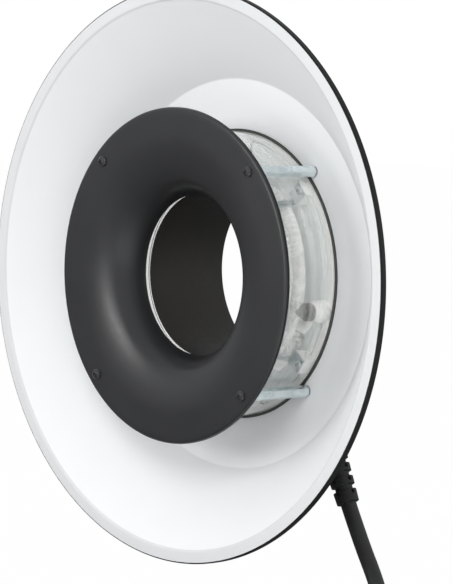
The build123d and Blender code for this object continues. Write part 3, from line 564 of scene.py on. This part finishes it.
# ------------------------------------------------------------------ drums, rings and liner
def tube_section(inner_r, outer_r, front_y, back_y):
    return [(inner_r, front_y), (outer_r, front_y), (outer_r, back_y), (inner_r, back_y)]


def build_glass_drums():
    outer = tube_section(105.2, OUTER_DRUM_R, -58.0, DRUM_BACK_Y)
    drum = lathe("outer_glass_blown", rounded(outer, radii=1.1, steps=5), ["glass"],
                 segments=320, sharp_angle=50)
    mount(drum, "outer_glass")
    inner = tube_section(65.8, INNER_DRUM_R, -49.0, DRUM_BACK_Y)
    drum = lathe("inner_glass_blown", rounded(inner, radii=0.9, steps=5), ["glass_in"],
                 segments=320, sharp_angle=50)
    mount(drum, "inner_glass")


def build_rear_seal():
    """Stepped ring behind the outer drum, with a lip round the drum's end."""
    inner_r, outer_r, groove_r = 105.0, 109.0, 107.87
    seat_y, lip_y, back_y = -0.45, -0.75, 1.5
    section = [(inner_r, seat_y), (groove_r, seat_y), (groove_r, lip_y),
               (outer_r, lip_y), (outer_r, back_y), (inner_r, back_y)]
    outline = rounded(section, radii=[0.05, 0.05, 0.3, 0.4, 0.05, 0.05], steps=5)
    seal = lathe("rear_seal_ring", outline, ["seal"], segments=320, sharp_angle=40)
    mount(seal, "rear_gasket")


def build_lamp_floor():
    inner_r, step_r, outer_r = 70.4, 79.3, 96.4
    low_y, high_y = 0.3, -1.0
    section = [(inner_r, low_y), (step_r, low_y), (step_r, high_y), (outer_r, high_y),
               (outer_r, RECESS_BACK_Y), (inner_r, RECESS_BACK_Y)]
    outline = rounded(section, radii=[0.15, 0.1, 0.3, 0.35, 0.1, 0.1], steps=4)
    floor = lathe("lamp_floor_turned", outline, ["alu"], segments=256, sharp_angle=40)
    mount(floor, "lamp_floor")


def build_ceramic_ring():
    section = tube_section(97.3, 103.5, -1.0, RECESS_BACK_Y)
    outline = rounded(section, radii=[0.45, 0.6, 0.1, 0.1], steps=5)
    ring = lathe("ceramic_ring_turned", outline, ["ceramic"], segments=256, sharp_angle=40)
    mount(ring, "ceramic_seat_ring")


def build_tunnel_liner():
    """Cone widening to the rear, with a flange at its back end."""
    # (r, y, corner radius)
    section = [(61.2, -32.3, 0.45), (69.0, 47.9, 2.0), (69.3, 49.3, 1.2), (76.0, 49.3, 0.6),
               (76.0, 47.92, 0.3), (70.0, 47.92, 0.8), (62.2, -32.3, 0.45)]
    outline = rounded([(r, y) for r, y, _ in section], [c for _, _, c in section], steps=5)
    white_strips = range(35, 39)    # the outer wall and the first of its front corner
    liner = lathe("tunnel_liner_spun", outline, ["liner", "liner_out"], segments=320,
                  sharp_angle=40, material_of=lambda strip: int(strip in white_strips))
    mount(liner, "tunnel_liner")


# ------------------------------------------------------------------ flash tube
def build_flash_tube():
    """Coil about the optical axis, advancing forwards."""
    coil_r, tube_r = 84.5, 4.5
    start_y, pitch = -6.5, 10.0
    start_angle, sweep, steps = -30.0, 870, 600     # degrees, degrees, points
    path = []
    for i in range(steps + 1):
        turned = sweep * i / steps
        angle = math.radians(start_angle - turned)
        path.append((coil_r * math.cos(angle), start_y - pitch * turned / 360.0,
                     coil_r * math.sin(angle)))
    coil = tube("flash_tube_coil", path, tube_r, ["quartz"], segments=28)
    mount(coil, "flash_tube")


# ------------------------------------------------------------------ standoffs
def build_standoffs():
    """Four hexagonal posts between the plate's back and the dish floor."""
    circle_r = 114.8
    half_flats = 4.0
    blunt_r = half_flats / math.cos(math.pi / 6) - 0.18     # the arrises are taken off here
    segments = 48
    front_y, back_y = PLATE_FACE_Y + SHEET, 0.0
    uncut = 9
    # (y, largest radius left by the turned ends)
    stations = [(front_y, 3.9), (front_y + 0.4, 4.35), (front_y + 0.7, uncut),
                (back_y - 1.3, uncut), (back_y - 0.8, 4.4), (back_y - 0.3, 4.1), (back_y, 3.7)]
    bm = bmesh.new()
    for place in (45, 135, 225, 315):
        x0 = circle_r * math.cos(math.radians(place))
        z0 = circle_r * math.sin(math.radians(place))
        # The upper two posts are turned by half a flat.
        turn = math.pi / 6 if place < 180 else 0
        rows = []
        for y, turned_r in stations:
            row = []
            for i in range(segments):
                a = 2 * math.pi * i / segments
                from_flat = (a + math.pi / 6 + turn) % (math.pi / 3) - math.pi / 6
                r = min(half_flats / math.cos(from_flat), blunt_r, turned_r)
                row.append(bm.verts.new(((x0 + r * math.cos(a)) * MM, y * MM,
                                         (z0 + r * math.sin(a)) * MM)))
            rows.append(row)
        skin(bm, rows)
        bm.faces.new(rows[0])
        bm.faces.new(rows[-1])
    posts = new_object("standoffs_hex", bm, ["post"], sharp_angle=25)
    mount(posts, "standoffs")


# ------------------------------------------------------------------ cable and its sleeve
def build_cable():
    """Straight out of the gland, then bending to hang down."""
    straight = [tuple(GLAND + GLAND_AXIS * t) for t in (-12, 0, 20, 45, 73)]
    # (x, z) of the hanging part
    hanging = [(100.08, -188.63), (106.9, -200.4), (120.3, -222.9), (134.5, -254.0),
               (145.0, -285.0), (150.4, -309.0), (152, -327), (152, -350), (152, -375)]
    points = straight + [(x, GLAND.y, z) for x, z in hanging]
    cable = tube("lamp_cable_run", curve_through(points, steps=14), 5.98, ["cable"],
                 segments=40)
    mount(cable, "lamp_cable")


SLEEVE_START, SLEEVE_END = 5.05, 72.4       # distances from the gland along its axis
SLEEVE_R, SLEEVE_TAPER = 11.2, 0.0401       # radius at the start, and its loss per mm
SLEEVE_BORE_R = 6.05
BAND_HEIGHT = 2.3
BAND_START, BAND_END, BAND_PITCH = 12.2, 18.6, 10.1
# (start, end) of each raised band; the first is short and the last runs to the end
BANDS = [(SLEEVE_START, 8.6)]
BANDS += [(BAND_START + BAND_PITCH * i, BAND_END + BAND_PITCH * i) for i in range(5)]
BANDS += [(BAND_START + BAND_PITCH * 5, SLEEVE_END)]


def smooth_step(start, end, x):
    t = max(0.0, min(1.0, (x - start) / (end - start)))
    return t * t * (3 - 2 * t)


def sleeve_radius(angle, z):
    outer = SLEEVE_R - SLEEVE_TAPER * (z - SLEEVE_START)
    in_band = max(smooth_step(a - 0.25, a + 0.35, z) * (1 - smooth_step(b - 0.35, b + 0.25, z))
                  for a, b in BANDS)
    # Ribs along the 135 and 315 degree sides join the bands, a little lower than them.
    from_rib = abs(((angle - 135 + 90) % 180) - 90)
    rib = (1 - smooth_step(24, 34, from_rib)) * 0.82
    radius = outer - BAND_HEIGHT + BAND_HEIGHT * max(in_band, rib)
    # Small windows every quarter turn, near the start of every band but the first.
    window_offset, window_depth = 2.5, 2.6
    for start, _ in BANDS[1:]:
        along = 1 - smooth_step(1.0, 1.5, abs(z - (start + window_offset)))
        for side in (0, 90, 180, 270):
            from_window = abs(((angle - side + 180) % 360) - 180)
            radius -= window_depth * (1 - smooth_step(6.5, 9.5, from_window)) * along
    end_round = 0.8
    from_end = min(z - SLEEVE_START, SLEEVE_END - z)
    if from_end < end_round:
        radius -= end_round - math.sqrt(max(0, end_round ** 2 - (end_round - from_end) ** 2))
    return radius


def build_sleeve():
    """Moulded sleeve round the straight part of the cable."""
    around, lengthwise = 200, 300
    axis = GLAND_AXIS.normalized()
    side = Vector((0, 1, 0))
    across = axis.cross(side)
    bm = bmesh.new()

    def ring(z, radius_at):
        row = []
        for k in range(around):
            angle = 360 * k / around
            a = math.radians(angle)
            outward = side * math.cos(a) + across * math.sin(a)
            row.append(bm.verts.new((GLAND + axis * z + outward * radius_at(angle, z)) * MM))
        return row

    length = SLEEVE_END - SLEEVE_START
    outside = [ring(SLEEVE_START + length * i / lengthwise, sleeve_radius)
               for i in range(lengthwise + 1)]
    first, last = [ring(z, lambda angle, z: SLEEVE_BORE_R) for z in (SLEEVE_START, SLEEVE_END)]
    skin(bm, [first] + outside + [last, first])
    sleeve = new_object("strain_relief_moulded", bm, ["relief"], sharp_angle=50)
    mount(sleeve, "strain_relief")


# ------------------------------------------------------------------ stage and light
def build_floor():
    """Pale floor: near-white to the camera, shaded from grey to white for other rays."""
    bm = bmesh.new()
    bmesh.ops.create_grid(bm, x_segments=2, y_segments=2, size=12.0)
    floor = new_object("stage_floor", bm)
    floor.location = (0, 0, -0.47)
    nodes = new_material("floor_pale")
    ray = nodes.node("LightPath").outputs
    place = nodes.position()
    y_lean, camera_share = 0.3, 0.99
    across = nodes.calc("SUBTRACT", place["X"], nodes.times(place["Y"], y_lean))
    grey, white = (0.20, 0.20, 0.20), (0.95, 0.95, 0.95)
    shade = nodes.mix(nodes.remap(across, span=(0.1, 0.7)), grey, white)
    lit = nodes.node("BsdfDiffuse", {"Color": shade})
    bright = nodes.node("Emission", {"Color": (1, 1, 1), "Strength": 1.0})
    factor = nodes.times(ray["Is Camera Ray"], camera_share)
    floor.data.materials.append(nodes.finish(nodes.mix_shader(factor, lit, bright)))


def build_world():
    """White backdrop for the camera, and a dimmer, cooler dome for every other ray."""
    world = bpy.data.worlds.new("studio")
    scene.world = world
    nodes = Nodes(world, "OutputWorld")

    def towards(direction, span, to):
        facing = nodes.node("VectorMath", {0: nodes.coords.outputs["Generated"], 1: direction},
                            operation="DOT_PRODUCT").outputs["Value"]
        return nodes.remap(facing, span=span, to=to, interpolation_type="SMOOTHSTEP")

    top = towards((-0.05, -0.36, 0.93), span=(-0.3, 0.9), to=(0.57, 0.59))
    # A lift from the lower right front, set to nothing.
    right = towards((0.80, -0.52, -0.30), span=(0.05, 0.75), to=(0.0, 0.0))
    dome = nodes.node("Background", {"Color": (0.97, 0.985, 1.0),
                                     "Strength": nodes.plus(top, right)})
    backdrop = nodes.node("Background", {"Color": (1, 1, 1), "Strength": 1.0})
    ray = nodes.node("LightPath").outputs
    nodes.finish(nodes.mix_shader(ray["Is Camera Ray"], dome, backdrop))


HEAD_CENTRE, BELOW_CENTRE = (0, 0, 0), (0, 0, -0.05)
# name, location, target, width, height (None: square), power in watts, seen in reflections
# The three unseen ones light the white dish without showing in the black plate.
LIGHTS = [
    ("key", (-0.62, -2.25, 0.55), HEAD_CENTRE, 0.85, 0.95, 14.5, True),
    ("fill", (-1.95, -1.5, -0.02), HEAD_CENTRE, 0.8, 1.5, 10, False),
    ("upper_right", (1.3, -1.9, 1.1), HEAD_CENTRE, 1.0, 1.0, 19.5, False),
    ("right", (2.0, -1.5, 0.05), HEAD_CENTRE, 0.8, 0.8, 4.5, False),
    ("back", (-1.6, 1.6, 0.25), BELOW_CENTRE, 1.2, None, 10, True),
    ("back_right", (1.4, 1.6, 0.35), BELOW_CENTRE, 1.0, None, 2, True),
]


def add_lights():
    for name, location, target, width, height, power, reflected in LIGHTS:
        light = bpy.data.lights.new(name, "AREA")
        light.energy = power
        light.size = width
        if height:
            light.shape = "RECTANGLE"
            light.size_y = height
        obj = bpy.data.objects.new(name, light)
        scene.collection.objects.link(obj)
        obj.location = location
        aim = Vector(target) - Vector(location)
        obj.rotation_euler = aim.to_track_quat("-Z", "Y").to_euler()
        obj.visible_glossy = reflected


def set_render():
    scene.cycles.transparent_max_bounces = 32
    scene.cycles.diffuse_bounces = 7
    scene.cycles.max_bounces = 20
    scene.view_settings.view_transform = "Standard"
    scene.view_settings.look = "None"


def add_camera():
    """Long lens in front, to the right and a little above the head."""
    position = (1.657857, -1.530146, 0.162046)
    right = (0.673916, 0.738206, 0.029813)
    up = (-0.077611, 0.030607, 0.996514)
    view = (-0.73472, 0.67388, -0.07792)
    lens = bpy.data.cameras.new("cam")
    lens.lens = 184.3
    lens.sensor_width = 36.0
    lens.sensor_fit = "AUTO"
    lens.clip_start = 0.05
    lens.clip_end = 60
    camera = bpy.data.objects.new("cam", lens)
    scene.collection.objects.link(camera)
    rows = [(r, u, -v, p) for r, u, v, p in zip(right, up, view, position)]
    camera.matrix_world = Matrix(rows + [(0, 0, 0, 1)])
    scene.camera = camera


dress_cad_pieces()
build_front_plate()
build_dish()
build_glass_drums()
build_rear_seal()
build_lamp_floor()
build_ceramic_ring()
build_tunnel_liner()
build_flash_tube()
build_standoffs()
build_cable()
build_sleeve()
build_floor()
build_world()
add_lights()
set_render()
add_camera()
